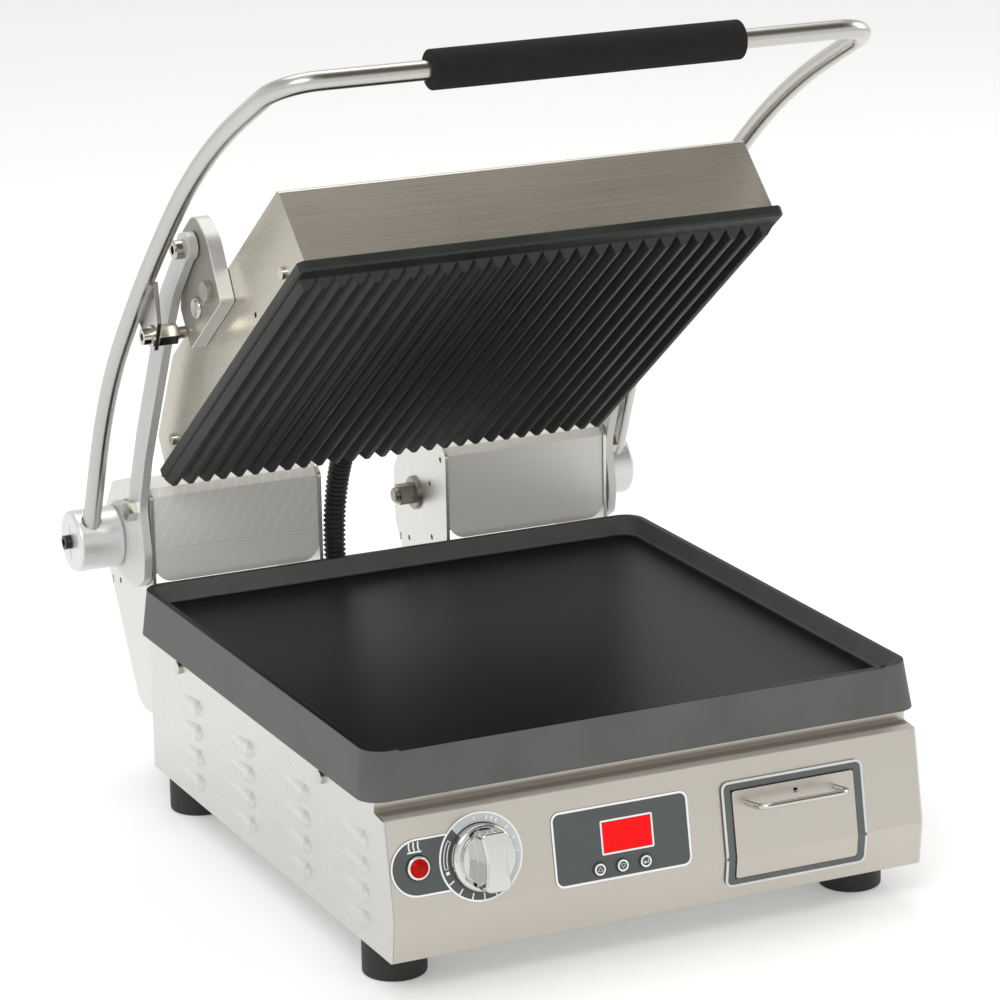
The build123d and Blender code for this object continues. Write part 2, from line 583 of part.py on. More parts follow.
def knob():
    """Stepped skirt disc with an upright waisted grip bar."""
    skirt = rod_y(KNOB_X, -8.0, -1.2, DIAL_S, 21.5)
    skirt = fillet(skirt.edges().filter_by(GeomType.CIRCLE).sort_by(Axis.Y)[0], 2.2)
    step = rod_y(KNOB_X, -11.0, -8.0, DIAL_S, 16.5)
    waist = outline([(-9.5, -19.0, 4), (9.5, -19.0, 4), (6.6, 0, 30), (9.5, 19.0, 4), (-9.5, 19.0, 4), (-6.6, 0, 30)])
    bar = extrude(Plane.XZ.offset(11.0) * waist, 14.0)
    bar = fillet(bar.faces().sort_by(Axis.Y)[0].edges(), 1.6)
    bar = Pos(KNOB_X, 0, DIAL_S) * bar
    return PANEL * (skirt + step + bar + rod_y(KNOB_X, -1.2, 9.0, DIAL_S, 3.0))


def thermostat():
    """Thermostat body behind the panel; the knob's spindle turns in its bush."""
    body = block(KNOB_X - 18, KNOB_X + 18, 6.0, 30.0, DIAL_S - 20, DIAL_S + 20)
    bush = rod_y(KNOB_X, 0.0, 6.0, DIAL_S, 5.0)
    return PANEL * (body + bush - rod_y(KNOB_X, -2.0, 9.4, DIAL_S, 3.05))


# ---- waste drawer -------------------------------------------------------------------------------------

PANEL_CREASE = [(PANEL_BOTTOM_Y, CASE_BOTTOM), (0.0, CREASE_Z), (PANEL_TOP_Y, PANEL_TOP_Z)]


def panel_follow(out0, out1, x0, x1):
    """Sheet that follows the crease of the front panel between two heights over it."""
    return slab_x(offset_path(PANEL_CREASE, out0) + offset_path(PANEL_CREASE, out1)[::-1], x0, x1)


def drawer_frame():
    """Moulded gasket frame round the drawer opening."""
    x0, x1, z0, z1 = DRAWER
    ring = panel_follow(0.0, 1.6, x0 - 7, x1 + 7)
    ring &= rounded_bar(x0 - 6, x1 + 6.5, -20, 20, z0 - 5, z1 + 5, 5)
    return ring - block(x0 + 0.2, x1 - 0.2, -20, 20, z0 + 0.2, z1 - 0.2)


def drawer_front():
    """Bent sheet front of the drawer, with a small square hole above the pull."""
    x0, x1, z0, z1 = DRAWER
    front = panel_follow(1.0, 2.6, x0, x1)
    front &= rounded_bar(x0 + 0.8, x1 - 0.8, -20, 20, z0 + 0.8, z1 - 0.8, 2)
    return front - block(95.3, 98.3, -20, 20, 91.5, 94.5)


def drawer_tray():
    """Open-topped tray whose front end is closed by the bent drawer front."""
    x0, x1, z0, z1 = DRAWER
    x0, x1, z0, z1 = x0 + 3, x1 - 3, z0 + 3, z1 - 8
    front_line = offset_path(PANEL_CREASE, 1.0)
    tray = slab_x(front_line + [(DRAWER_DEPTH, PANEL_TOP_Z), (DRAWER_DEPTH, CASE_BOTTOM)], x0, x1)
    tray &= block(x0, x1, -20, DRAWER_DEPTH, z0, z1)
    inside = slab_x(offset_path(PANEL_CREASE, 1.0 - SHEET) + [(DRAWER_DEPTH - SHEET, PANEL_TOP_Z),
                    (DRAWER_DEPTH - SHEET, CASE_BOTTOM)], x0 + SHEET, x1 - SHEET)
    return tray - (inside & block(x0, x1, -20, DRAWER_DEPTH, z0 + SHEET, z1 + 1))


def drawer_pull():
    """Round wire pull: two legs square to the panel and a straight bar."""
    reach, x0, x1, s = 22.0, 61.6, 126.2, 34.0
    path = FilletPolyline((x0, -2.7, s), (x0, -reach, s), (x1, -reach, s), (x1, -2.7, s), radius=7)
    return PANEL * swept_tube(path, 2.0)


def drawer_rail(side):
    """Angle rail under each edge of the tray, from the front panel to the rear support."""
    x0, x1, z0, _ = DRAWER
    x0, x1, z0 = x0 + 3, x1 - 3, z0 + 3
    if side < 0:
        wall = block(x0 - 1.8, x0 - 0.6, 16, 320, CASE_BOTTOM + SHEET, z0 + 22)
        shelf = block(x0 - 0.6, x0 + 8, 16, 320, z0 - 1.6, z0 - 0.4)
    else:
        wall = block(x1 + 0.6, x1 + 1.8, 16, 320, CASE_BOTTOM + SHEET, z0 + 22)
        shelf = block(x1 - 8, x1 + 0.6, 16, 320, z0 - 1.6, z0 - 0.4)
    return wall + shelf


# ---- wiring -------------------------------------------------------------------------------------------

CONDUIT_X, CONDUIT_EXIT_Z, CONDUIT_R = -27.0, 88.0, 8.0
ENTRY_X = -20.0
INLET_X, INLET_Z = 120.0, 70.0
GLAND_W = 24.0              # height of the conduit's entry in the upper housing's own frame


def conduit_gland(y_face, z, r_flange):
    """Flanged bush round the conduit where it leaves the rear panel."""
    gland = rod_y(CONDUIT_X, y_face, y_face + 4, z, r_flange)
    gland += rod_y(CONDUIT_X, y_face - SHEET, y_face, z, CONDUIT_R + 0.8)
    return gland - rod_y(CONDUIT_X, y_face - 2, y_face + 5, z, CONDUIT_R + 0.1)


def conduit_route():
    """Out of the rear panel, up behind the griddle plate and forward into the housing's back."""
    entry = (PLATEN_OPEN * Pos(ENTRY_X, -1.0, GLAND_W)).position
    knee = (PLATEN_OPEN * Pos(ENTRY_X, 34.0, GLAND_W - 2)).position
    return [(CONDUIT_X, CASE_REAR - SHEET, CONDUIT_EXIT_Z), (CONDUIT_X, 462, CONDUIT_EXIT_Z),
            (CONDUIT_X + 1, 472, 165), knee, entry]


def power_gland():
    """Strain-relief bush for the power lead in the rear panel; the lead itself isn't part of the model."""
    gland = rod_y(INLET_X, CASE_REAR, CASE_REAR + 10, INLET_Z, 11.5)
    gland = chamfer(gland.edges().filter_by(GeomType.CIRCLE).sort_by(Axis.Y)[-1], 2.0)
    gland += rod_y(INLET_X, CASE_REAR - SHEET, CASE_REAR, INLET_Z, 9.0)
    return gland - rod_y(INLET_X, CASE_REAR - 5, CASE_REAR + 12, INLET_Z, 5.0)


# ---- writing the sub-parts ----------------------------------------------------------------------------

def save_casing():
    save("base_pan", base_pan())
    save("front_panel", front_panel())
    save("rear_panel", rear_panel())
    for name, side in SIDES:
        save(f"{name}_side_panel", side_panel(side))
    feet = [(x, y) for x in (-FOOT_X, FOOT_X) for y in (FOOT_FRONT, FOOT_REAR)]
    for (x, y), name in zip(feet, ("front_left", "rear_left", "front_right", "rear_right")):
        save(f"{name}_foot", foot(x, y))
    screws = [bolt_x(CASE_HALF, side, y, SIDE_SCREW_Z, 2.0, 4.5, 2.6, SHEET) for _, side in SIDES
              for y in SIDE_SCREWS]
    save("side_screws", *screws)
    save("lower_griddle_plate", lower_griddle_plate())
    save("lower_heating_element", heating_element(140, 70, 370, CASE_TOP + 3.9, 6, 4.0, 0))
    save("lower_insulation", block(-178, 178, 36, 408, CASE_TOP - 14, CASE_TOP - 0.3))


def save_hinges():
    for name, side in SIDES:
        save(f"{name}_outer_hinge_plate", end_plate(side, OUTER_PLATE_X, -1, SHAFT_R))
        save(f"{name}_inner_hinge_plate", end_plate(side, INNER_PLATE_X, 1, 5.5))
        save(f"{name}_spring_cover", spring_cover(side))
        save(f"{name}_torsion_spring", torsion_spring(side))
        save(f"{name}_hinge_shaft", hinge_shaft(side))
    save("shaft_nuts", *[shaft_nut(side) for _, side in SIDES])
    save("hub_end_bolts", *[hub_end_bolt(side) for _, side in SIDES])


def save_lift_frame():
    for name, side in SIDES:
        save(f"{name}_arm", arm(side))
        save(f"{name}_hub", hub(side))
    save("handle_tube", handle_tube())
    save("handle_grip", handle_grip())
    save("stop_standoffs", *[stop_standoff(side) for _, side in SIDES])
    save("arm_bolts", *[arm_bolt(side) for _, side in SIDES])
    save("pivot_bolts", *[pivot_bolt(side) for _, side in SIDES])


def save_platen():
    save("upper_platen", PLATEN_OPEN * upper_platen())
    save("upper_housing", PLATEN_OPEN * upper_housing())
    element = heating_element(140, -300, -40, PLATEN_TOP + 4.1, 6, 4.0, 0)
    save("upper_heating_element", PLATEN_OPEN * element)
    for name, side in SIDES:
        save(f"{name}_platen_bracket", PLATEN_OPEN * platen_bracket(side))
    heads = [PLATEN_OPEN * head for _, side in SIDES for head in bracket_bolts(side)]
    save("bracket_bolts", *heads)
    screws = [PLATEN_OPEN * housing_screw(side, v) for _, side in SIDES for v in HOUSING_SCREWS]
    save("housing_screws", *screws)


def save_controls():
    save("dial_label", dial_label())
    save("display_label", display_label())
    save("display_window", display_window())
    save("control_board", control_board())
    save("lamp_bezel", lamp_bezel())
    save("lamp_lens", lamp_lens())
    save("control_knob", knob())
    save("thermostat", thermostat())
    for x, name in zip(BUTTON_X, ("up", "down", "enter")):
        save(f"{name}_button", button(x))


def save_drawer():
    save("drawer_frame", drawer_frame())
    save("drawer_front", drawer_front())
    save("drawer_tray", drawer_tray())
    save("drawer_pull", drawer_pull())
    save("drawer_rails", drawer_rail(-1), drawer_rail(1))


def save_wiring():
    save("conduit_gland", conduit_gland(CASE_REAR, CONDUIT_EXIT_Z, 13.0))
    save("power_gland", power_gland())
    route = conduit_route()
    path = FilletPolyline(*route, radius=[40, 200, 45])
    print("conduit length", round(path.length, 1))
    save("conduit", swept_tube(path, CONDUIT_R))


if __name__ == "__main__":
    os.makedirs("parts", exist_ok=True)
    save_casing()
    save_hinges()
    save_lift_frame()
    save_platen()
    save_controls()
    save_drawer()
    save_wiring()
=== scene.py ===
from math import atan2, cos, hypot, pi, radians, sin

import bmesh
import bpy
from mathutils import Matrix, Vector


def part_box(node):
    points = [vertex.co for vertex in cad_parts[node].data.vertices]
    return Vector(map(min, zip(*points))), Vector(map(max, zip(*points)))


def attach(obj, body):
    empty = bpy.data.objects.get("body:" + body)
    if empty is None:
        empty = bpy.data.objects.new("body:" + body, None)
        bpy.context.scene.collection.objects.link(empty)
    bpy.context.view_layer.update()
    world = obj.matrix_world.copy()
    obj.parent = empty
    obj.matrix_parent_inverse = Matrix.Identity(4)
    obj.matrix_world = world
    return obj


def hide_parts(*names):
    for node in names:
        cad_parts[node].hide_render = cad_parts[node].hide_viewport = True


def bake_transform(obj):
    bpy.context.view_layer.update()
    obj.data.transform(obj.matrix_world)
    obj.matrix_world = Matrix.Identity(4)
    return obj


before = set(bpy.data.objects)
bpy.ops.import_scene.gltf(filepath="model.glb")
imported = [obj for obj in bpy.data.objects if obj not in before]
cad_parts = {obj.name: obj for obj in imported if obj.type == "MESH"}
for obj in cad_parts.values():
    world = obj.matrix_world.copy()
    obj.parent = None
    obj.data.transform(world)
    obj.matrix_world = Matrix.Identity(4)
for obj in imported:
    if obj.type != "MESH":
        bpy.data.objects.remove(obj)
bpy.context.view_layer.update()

# Looks of the panini press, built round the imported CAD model. Lengths are in metres, or in millimetres where
# a name ends in _MM or a docstring says mm.


# ---- places taken from the frame ------------------------------------------------------------------------

CREASE_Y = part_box("front_panel")[0].y        # the crease is the front panel's foremost line
CREASE_Z_MM, PANEL_RISE_MM, PANEL_RUN_MM, LOWER_RUN_MM = 55.9, 62.2, 11.1, 3.3
CASE_BOTTOM_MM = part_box("front_panel")[0].z * 1000
PANEL_TILT = atan2(PANEL_RUN_MM, PANEL_RISE_MM)
lens_low, lens_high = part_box("lamp_lens")
knob_low, knob_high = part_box("control_knob")
LAMP_X_MM = (lens_low.x + lens_high.x) * 500
KNOB_X_MM = (knob_low.x + knob_high.x) * 500
DIAL_S_MM = 31.0                              # height of lamp and knob up the sloping panel
LABEL_MM = 0.5                                # thickness of the printed labels
COVER_SEAM_Z = 0.1775                         # seam across the left hinge cover
AXIS_Z = sum(c.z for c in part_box("hub_end_bolts")) / 2


def on_panel(x, s, out):
    """Point x across and s up the sloping panel, out from its face, all in mm."""
    y = s * sin(PANEL_TILT) - out * cos(PANEL_TILT)
    z = s * cos(PANEL_TILT) + out * sin(PANEL_TILT)
    return Vector((x / 1000, CREASE_Y + y / 1000, (CREASE_Z_MM + z) / 1000))


def on_front(x, z, out):
    """Point on the creased front at height z, moved forwards by out, all in mm."""
    if z >= CREASE_Z_MM:
        back = (z - CREASE_Z_MM) * PANEL_RUN_MM / PANEL_RISE_MM
    else:
        back = LOWER_RUN_MM * (CREASE_Z_MM - z) / (CREASE_Z_MM - CASE_BOTTOM_MM)
    return Vector((x / 1000, CREASE_Y + (back - out) / 1000, z / 1000))


# ---- materials ------------------------------------------------------------------------------------------

def new_material(name, colour, metallic, roughness, coat=0.0, specular=0.5):
    mat = bpy.data.materials.new(name)
    mat.use_nodes = True
    shader = mat.node_tree.nodes["Principled BSDF"]
    shader.inputs["Base Color"].default_value = (*colour, 1)
    shader.inputs["Metallic"].default_value = metallic
    shader.inputs["Roughness"].default_value = roughness
    shader.inputs["Coat Weight"].default_value = coat
    shader.inputs["Coat Roughness"].default_value = 0.15
    shader.inputs["Specular IOR Level"].default_value = specular
    return mat


def shader_of(mat):
    return mat.node_tree.nodes["Principled BSDF"]


def noise(mat, frequency, detail=4.0):
    """Noise over the object; frequency is cycles a metre along x, y and z."""
    nodes, links = mat.node_tree.nodes, mat.node_tree.links
    place = nodes.new("ShaderNodeTexCoord")
    stretch = nodes.new("ShaderNodeMapping")
    stretch.inputs["Scale"].default_value = frequency
    texture = nodes.new("ShaderNodeTexNoise")
    texture.inputs["Scale"].default_value = 1.0
    texture.inputs["Detail"].default_value = detail
    links.new(place.outputs["Object"], stretch.inputs["Vector"])
    links.new(stretch.outputs["Vector"], texture.inputs["Vector"])
    return texture.outputs["Fac"]


def tint(mat, factor, stops):
    """Base colour from a factor through a ramp of (position, colour) stops."""
    nodes, links = mat.node_tree.nodes, mat.node_tree.links
    ramp = nodes.new("ShaderNodeValToRGB")
    while len(ramp.color_ramp.elements) < len(stops):
        ramp.color_ramp.elements.new(0.5)
    for element, (position, colour) in zip(ramp.color_ramp.elements, stops):
        element.position = position
        element.color = (*colour, 1)
    links.new(factor, ramp.inputs["Fac"])
    links.new(ramp.outputs["Color"], shader_of(mat).inputs["Base Color"])
    return ramp.outputs["Color"]


def gloss(mat, factor, low, high):
    """Roughness that wanders between two values with a factor."""
    nodes, links = mat.node_tree.nodes, mat.node_tree.links
    span = nodes.new("ShaderNodeMapRange")
    span.inputs["From Min"].default_value = 0.3
    span.inputs["From Max"].default_value = 0.7
    span.inputs["To Min"].default_value = low
    span.inputs["To Max"].default_value = high
    links.new(factor, span.inputs["Value"])
    links.new(span.outputs["Result"], shader_of(mat).inputs["Roughness"])


def relief(mat, factor, depth, strength=1.0, edge=0.0):
    """Fine relief of the given depth, on edges softened to the given radius."""
    nodes, links = mat.node_tree.nodes, mat.node_tree.links
    bump = nodes.new("ShaderNodeBump")
    bump.inputs["Distance"].default_value = depth
    bump.inputs["Strength"].default_value = strength
    links.new(factor, bump.inputs["Height"])
    if edge:
        bevel = nodes.new("ShaderNodeBevel")
        bevel.samples = 4
        bevel.inputs["Radius"].default_value = edge
        links.new(bevel.outputs["Normal"], bump.inputs["Normal"])
    links.new(bump.outputs["Normal"], shader_of(mat).inputs["Normal"])


def mixed(mat, a, b, share):
    """Two factors mixed, share of the second."""
    nodes, links = mat.node_tree.nodes, mat.node_tree.links
    mix = nodes.new("ShaderNodeMix")
    mix.inputs["Factor"].default_value = share
    links.new(a, mix.inputs["A"])
    links.new(b, mix.inputs["B"])
    return mix.outputs["Result"]


GRAIN_ACROSS, GRAIN_ALONG, CLOUDS = 1400.0, 9.0, 7.0


def brushed_metal(name, dark, light, rough_low, rough_high, grain_axis, edge=0.0004, metallic=1.0):
    """Satin metal: fine grain along one axis, slow changes of shade, softened edges."""
    mat = new_material(name, light, metallic, rough_low)
    frequency = [GRAIN_ACROSS] * 3
    frequency[grain_axis] = GRAIN_ALONG
    grain = noise(mat, frequency, 6.0)
    clouds = noise(mat, (CLOUDS, CLOUDS, CLOUDS), 3.0)
    both = mixed(mat, grain, clouds, 0.45)
    tint(mat, both, [(0.25, dark), (0.72, light)])
    gloss(mat, both, rough_low, rough_high)
    relief(mat, grain, 0.00002, 0.05, edge)
    return mat


def cast_iron(name, dark, light, rough_low, rough_high, speckle=2600.0, depth=0.00012):
    """Seasoned cast iron: mottled near-black with a fine sandy relief."""
    mat = new_material(name, light, 0.0, rough_low, specular=0.45)
    mottle = noise(mat, (22, 22, 22), 6.0)
    sand = noise(mat, (speckle, speckle, speckle), 2.0)
    both = mixed(mat, mottle, sand, 0.35)
    tint(mat, both, [(0.32, dark), (0.66, light)])
    gloss(mat, mottle, rough_low, rough_high)
    relief(mat, sand, depth, 0.5, 0.0012)
    return mat


def moulded(name, dark, light, roughness, speckle=1800.0, depth=0.00006, coat=0.0, edge=0.0004):
    """Moulded plastic or rubber with a fine surface texture."""
    mat = new_material(name, light, 0.0, roughness, coat)
    fine = noise(mat, (speckle, speckle, speckle), 3.0)
    broad = noise(mat, (30, 30, 30), 3.0)
    both = mixed(mat, fine, broad, 0.5)
    tint(mat, both, [(0.32, dark), (0.66, light)])
    gloss(mat, broad, roughness * 0.9, min(1.0, roughness * 1.1))
    relief(mat, fine, depth, 0.6, edge)
    return mat


def facing_painted_shade(mat, axis, start, end, colour, roughness):
    """Give faces that look up or down one world axis another colour and roughness; the colour is painted
    shade.
    """
    nodes, links = mat.node_tree.nodes, mat.node_tree.links
    shader = shader_of(mat)
    facing = nodes.new("ShaderNodeNewGeometry")
    split = nodes.new("ShaderNodeSeparateXYZ")
    either_way = nodes.new("ShaderNodeMath")
    either_way.operation = "ABSOLUTE"
    share = nodes.new("ShaderNodeMapRange")
    share.inputs["From Min"].default_value = start
    share.inputs["From Max"].default_value = end
    links.new(facing.outputs["Normal"], split.inputs["Vector"])
    links.new(split.outputs[axis], either_way.inputs[0])
    links.new(either_way.outputs["Value"], share.inputs["Value"])
    shade = nodes.new("ShaderNodeMix")
    shade.data_type = "RGBA"
    links.new(share.outputs["Result"], shade.inputs["Factor"])
    links.new(shader.inputs["Base Color"].links[0].from_socket, shade.inputs["A"])
    shade.inputs["B"].default_value = (*colour, 1)
    links.new(shade.outputs["Result"], shader.inputs["Base Color"])
    polish = nodes.new("ShaderNodeMix")
    links.new(share.outputs["Result"], polish.inputs["Factor"])
    links.new(shader.inputs["Roughness"].links[0].from_socket, polish.inputs["A"])
    polish.inputs["B"].default_value = roughness
    links.new(polish.outputs["Result"], shader.inputs["Roughness"])
    return mat


STREAK_TURN, STREAK_SCALE, STREAK_FADE = radians(-32), 38.0, 0.002
FILM_WHITE, FILM_SHARE = (0.93, 0.94, 0.94), 0.40


def film_streaks(mat, seam_z):
    """Pale slanting streaks of protective film over the sheet above a seam."""
    nodes, links = mat.node_tree.nodes, mat.node_tree.links
    shader = shader_of(mat)
    place = nodes.new("ShaderNodeTexCoord")
    turn = nodes.new("ShaderNodeMapping")
    turn.inputs["Rotation"].default_value = (0, STREAK_TURN, 0)
    waves = nodes.new("ShaderNodeTexWave")
    waves.inputs["Scale"].default_value = STREAK_SCALE
    waves.inputs["Distortion"].default_value = 2.2
    waves.inputs["Detail"].default_value = 2.0
    links.new(place.outputs["Object"], turn.inputs["Vector"])
    links.new(turn.outputs["Vector"], waves.inputs["Vector"])
    thin = nodes.new("ShaderNodeMapRange")
    thin.inputs["From Min"].default_value = 0.84
    thin.inputs["From Max"].default_value = 1.0
    thin.inputs["To Max"].default_value = FILM_SHARE
    links.new(waves.outputs["Fac"], thin.inputs["Value"])
    split = nodes.new("ShaderNodeSeparateXYZ")
    above = nodes.new("ShaderNodeMapRange")
    above.inputs["From Min"].default_value = seam_z
    above.inputs["From Max"].default_value = seam_z + STREAK_FADE
    links.new(place.outputs["Object"], split.inputs["Vector"])
    links.new(split.outputs["Z"], above.inputs["Value"])
    both = nodes.new("ShaderNodeMath")
    both.operation = "MULTIPLY"
    links.new(thin.outputs["Result"], both.inputs[0])
    links.new(above.outputs["Result"], both.inputs[1])
    streaked = nodes.new("ShaderNodeMix")
    streaked.data_type = "RGBA"
    streaked.inputs["B"].default_value = (*FILM_WHITE, 1)
    links.new(both.outputs["Value"], streaked.inputs["Factor"])
    links.new(shader.inputs["Base Color"].links[0].from_socket, streaked.inputs["A"])
    links.new(streaked.outputs["Result"], shader.inputs["Base Color"])
    return mat


X, Y, Z = 0, 1, 2
FRONT_STEEL = brushed_metal("front_steel", (0.515, 0.485, 0.435), (0.56, 0.53, 0.48), 0.30, 0.36, X)
SIDE_STEEL = brushed_metal("side_steel", (0.57, 0.57, 0.55), (0.65, 0.65, 0.63), 0.24, 0.32, Y)
# the housing steel is darker and warmer than the side steel: painted shade of dark reflections on its front,
# over the steel's own tone
HOUSING_STEEL = brushed_metal("housing_steel", (0.49, 0.46, 0.40), (0.57, 0.54, 0.475), 0.24, 0.32, X)
COVER_LOOK = ((0.75, 0.735, 0.69), (0.81, 0.795, 0.75), 0.36, 0.44, X, 0.0004, 0.28)
COVER_STEEL = brushed_metal("cover_steel", *COVER_LOOK)
FILMED_STEEL = film_streaks(brushed_metal("filmed_cover_steel", *COVER_LOOK), COVER_SEAM_Z)
PLATE_STEEL = brushed_metal("hinge_plate_steel", (0.62, 0.62, 0.59), (0.72, 0.72, 0.69), 0.30, 0.38, Z)
ALUMINIUM = brushed_metal("satin_aluminium", (0.60, 0.61, 0.595), (0.68, 0.69, 0.675), 0.46, 0.54, Z,
                          0.0006, 0.6)
HUB_ALUMINIUM = brushed_metal("hub_aluminium", (0.68, 0.685, 0.68), (0.76, 0.765, 0.76), 0.34, 0.42, X,
                              0.0006, 0.7)
BRACKET_ALUMINIUM = brushed_metal("bracket_aluminium", (0.55, 0.55, 0.53), (0.66, 0.66, 0.64), 0.40, 0.48, Z,
                                  0.0006, 0.6)
# faces looking along x, the brackets' flat sides, are painted darker and brownish: painted shade and
# reflection
facing_painted_shade(BRACKET_ALUMINIUM, "X", 0.90, 0.99, (0.30, 0.28, 0.245), 0.42)
HANDLE_STEEL = brushed_metal("handle_steel", (0.48, 0.47, 0.45), (0.57, 0.56, 0.54), 0.20, 0.28, Z)
PULL_STEEL = brushed_metal("pull_steel", (0.50, 0.49, 0.46), (0.66, 0.65, 0.61), 0.14, 0.20, X)
BRIGHT_ZINC = brushed_metal("bright_zinc", (0.46, 0.44, 0.39), (0.64, 0.62, 0.56), 0.14, 0.24, X, 0.0003)
SHAFT_STEEL = brushed_metal("shaft_steel", (0.20, 0.18, 0.155), (0.38, 0.35, 0.31), 0.25, 0.36, X, 0.0003)
BLACK_OXIDE = brushed_metal("black_oxide", (0.02, 0.02, 0.02), (0.06, 0.06, 0.06), 0.3, 0.4, X, 0.0003)
CHROME = brushed_metal("knob_chrome", (0.60, 0.60, 0.585), (0.68, 0.68, 0.665), 0.05, 0.08, Z, 0.0005)
ELEMENT_STEEL = brushed_metal("element_steel", (0.22, 0.18, 0.15), (0.42, 0.37, 0.32), 0.35, 0.5, Z)
SPRING_STEEL = brushed_metal("spring_steel", (0.16, 0.16, 0.16), (0.30, 0.30, 0.30), 0.3, 0.4, Z)
GRIDDLE_IRON = cast_iron("griddle_iron", (0.098, 0.098, 0.097), (0.128, 0.128, 0.126), 0.40, 0.50,
                         3200.0, 0.00006)
# up-facing faces, the recessed floor and the rim tops, are painted near-black: painted shade, with their own
# roughness
facing_painted_shade(GRIDDLE_IRON, "Z", 0.55, 0.95, (0.0045, 0.0045, 0.004), 0.34)
shader_of(GRIDDLE_IRON).inputs["Specular IOR Level"].default_value = 0.11
PLATEN_IRON = cast_iron("platen_iron", (0.005, 0.007, 0.005), (0.015, 0.018, 0.014), 0.44, 0.56)
GRIP_FOAM = moulded("grip_foam", (0.006, 0.0055, 0.005), (0.019, 0.017, 0.016), 0.85, 1500.0, 0.0004)
shader_of(GRIP_FOAM).inputs["Specular IOR Level"].default_value = 0.22
FOOT_RUBBER = moulded("foot_rubber", (0.006, 0.006, 0.006), (0.020, 0.020, 0.020), 0.62, 900.0, 0.0003)
CONDUIT_BLACK = moulded("conduit_black", (0.008, 0.008, 0.008), (0.022, 0.022, 0.022), 0.45, 1200.0)
GLAND_BLACK = moulded("gland_black", (0.012, 0.012, 0.012), (0.026, 0.026, 0.026), 0.5)
LABEL_GREY = moulded("label_grey", (0.062, 0.070, 0.070), (0.074, 0.084, 0.083), 0.42, 700.0, 0.00002)
FRAME_GREY = moulded("frame_grey", (0.085, 0.090, 0.090), (0.115, 0.122, 0.122), 0.45, 700.0, 0.00003)
BUTTON_DARK = moulded("button_dark", (0.050, 0.058, 0.064), (0.070, 0.080, 0.086), 0.4)
WHITE_INK = moulded("white_ink", (0.84, 0.85, 0.85), (0.92, 0.93, 0.93), 0.5, 900.0, 0.00001)
EDGE_GREY = moulded("frame_edge", (0.60, 0.61, 0.61), (0.70, 0.71, 0.71), 0.4, 900.0, 0.00001)
GLARE_GREY = moulded("dial_light_grey", (0.50, 0.52, 0.53), (0.60, 0.62, 0.63), 0.35, 700.0, 0.00002)
# black ink for the knob's pointer, also used for the painted shadow round the lamp's bezel
BLACK_INK_AND_SHADOW = moulded("black_ink_and_painted_shadow", (0.006, 0.006, 0.006), (0.014, 0.014, 0.014), 0.5, 900.0, 0.00001)
BOARD_GREEN = moulded("board_green", (0.012, 0.09, 0.035), (0.03, 0.16, 0.07), 0.45, 400.0)
THERMOSTAT_WHITE = moulded("thermostat_white", (0.55, 0.53, 0.48), (0.70, 0.68, 0.63), 0.5)
WOOL_WHITE = moulded("insulation_wool", (0.45, 0.44, 0.41), (0.78, 0.77, 0.73), 0.95, 500.0, 0.0006)


def glowing(name, dark, light, roughness, glow):
    """Coloured plastic lit from behind, a little uneven."""
    mat = moulded(name, dark, light, roughness, 500.0, 0.00002)
    shader_of(mat).inputs["Specular IOR Level"].default_value = 0.12
    nodes, links = mat.node_tree.nodes, mat.node_tree.links
    colour = shader_of(mat).inputs["Base Color"].links[0].from_socket
    links.new(colour, shader_of(mat).inputs["Emission Color"])
    shader_of(mat).inputs["Emission Strength"].default_value = glow
    return mat


DISPLAY_RED = glowing("display_red", (0.74, 0.004, 0.006), (0.84, 0.006, 0.008), 0.5, 0.22)
LAMP_RED = glowing("lamp_red", (0.24, 0.001, 0.0), (0.46, 0.004, 0.0), 0.22, 0.12)
LAMP_CHROME = brushed_metal("lamp_ring_chrome", (0.70, 0.69, 0.67), (0.80, 0.79, 0.77), 0.12, 0.2, X, 0.0002)

